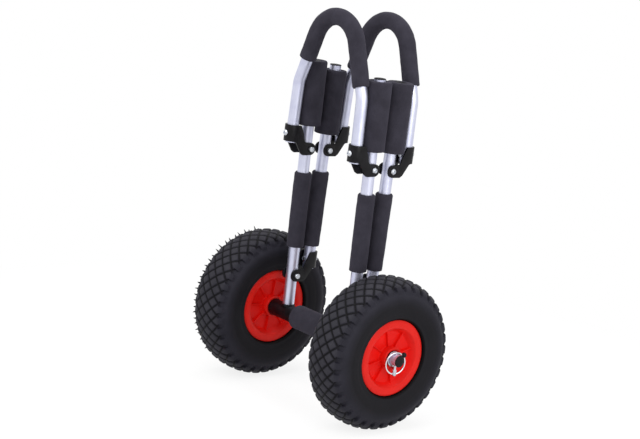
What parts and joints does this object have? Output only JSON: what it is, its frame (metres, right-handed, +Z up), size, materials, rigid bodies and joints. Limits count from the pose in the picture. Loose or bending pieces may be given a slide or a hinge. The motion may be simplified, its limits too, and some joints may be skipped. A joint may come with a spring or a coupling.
{
  "type": "surfboard cart",
  "caption": "Folding two-wheeled cart for a surfboard: tubular axle with fat tyres, folding padded posts, swing-out padded arches and linch pins at the axle's ends.",
  "frame": {"origin": "on the ground under the middle of the axle, which is the centre of the bounding box's base", "axes": "+X along the axle to the cart's right, +Y to the rear, +Z up; the cart stands folded on its two wheels"},
  "size_m": [0.4322, 0.26, 0.6776],
  "materials": {
    "tyre": "matt black rubber with a blocky moulded tread",
    "rim": "bright red injection moulding, satin gloss",
    "bush": "black nylon bush",
    "tube": "clear anodised tube, satin",
    "plug": "black end plugs and beads",
    "moulding": "black glass-filled nylon, fine satin",
    "foam": "charcoal closed-cell foam sleeve, matt",
    "steel": "bright zinc-plated steel"
  },
  "bodies": {
    "frame": {"axle_tube": "tube", "axle_foam": "foam", "axle_plug_left": "plug", "axle_plug_right": "plug", "axle_tee_left": "moulding", "axle_tee_right": "moulding", "axle_washer_left": "steel", "axle_washer_right": "steel", "linch_pin_left": "steel", "linch_pin_right": "steel", "front_post_left": "tube", "front_post_right": "tube", "front_lower_foam_left": "foam", "front_lower_foam_right": "foam", "front_upper_foam_left": "foam", "front_upper_foam_right": "foam", "front_plug_left": "plug", "front_plug_right": "plug", "front_knee_bolt_left": "steel", "front_knee_bolt_right": "steel", "lower_pivot_bolt_left": "steel", "lower_pivot_bolt_right": "steel"},
    "wheel_left": {"tyre_left": "tyre", "rim_left_inner": "rim", "rim_left_outer": "rim", "hub_bush_left": "bush"},
    "wheel_right": {"tyre_right": "tyre", "rim_right_inner": "rim", "rim_right_outer": "rim", "hub_bush_right": "bush"},
    "pin_ring_left": {"linch_ring_left": "steel", "linch_knob_left": "plug"},
    "pin_ring_right": {"linch_ring_right": "steel", "linch_knob_right": "plug"},
    "front_arch": {"front_loop_tube": "tube", "front_loop_foam": "foam", "front_knee_bracket_left": "moulding", "front_knee_bracket_right": "moulding", "front_clamp_bolt_left": "steel", "front_clamp_bolt_right": "steel"},
    "rear_frame": {"rear_post_left": "tube", "rear_post_right": "tube", "rear_lower_foam_left": "foam", "rear_lower_foam_right": "foam", "rear_upper_foam_left": "foam", "rear_upper_foam_right": "foam", "rear_plug_left": "plug", "rear_plug_right": "plug", "lower_bracket_left": "moulding", "lower_bracket_right": "moulding", "lower_clamp_bolt_left": "steel", "lower_clamp_bolt_right": "steel", "rear_knee_bolt_left": "steel", "rear_knee_bolt_right": "steel"},
    "rear_arch": {"rear_loop_tube": "tube", "rear_loop_foam": "foam", "rear_knee_bracket_left": "moulding", "rear_knee_bracket_right": "moulding", "rear_clamp_bolt_left": "steel", "rear_clamp_bolt_right": "steel"}
  },
  "joints": [
    {"name": "wheel_left_spin", "type": "hinge", "parent": "frame", "child": "wheel_left", "pos_m": [-0.16, 0, 0.13], "axis": [1, 0, 0], "continuous": true},
    {"name": "wheel_right_spin", "type": "hinge", "parent": "frame", "child": "wheel_right", "pos_m": [0.16, 0, 0.13], "axis": [1, 0, 0], "continuous": true},
    {"name": "pin_ring_left_swing", "type": "hinge", "parent": "frame", "child": "pin_ring_left", "pos_m": [-0.205, 0, 0.1057], "axis": [0.3256, -0.9455, 0], "range_deg": [0, 150]},
    {"name": "pin_ring_right_swing", "type": "hinge", "parent": "frame", "child": "pin_ring_right", "pos_m": [0.205, 0, 0.1057], "axis": [0.3256, 0.9455, 0], "range_deg": [0, 150]},
    {"name": "front_arch_fold", "type": "hinge", "parent": "frame", "child": "front_arch", "pos_m": [0, 0, 0.4245], "axis": [1, 0, 0], "range_deg": [0, 87.5]},
    {"name": "rear_frame_fold", "type": "hinge", "parent": "frame", "child": "rear_frame", "pos_m": [0, 0, 0.1995], "axis": [-1, 0, 0], "range_deg": [0, 88.1]},
    {"name": "rear_arch_fold", "type": "hinge", "parent": "rear_frame", "child": "rear_arch", "pos_m": [0, 0.04137, 0.42105], "axis": [-1, 0, 0], "range_deg": [0, 84]}
  ]
}
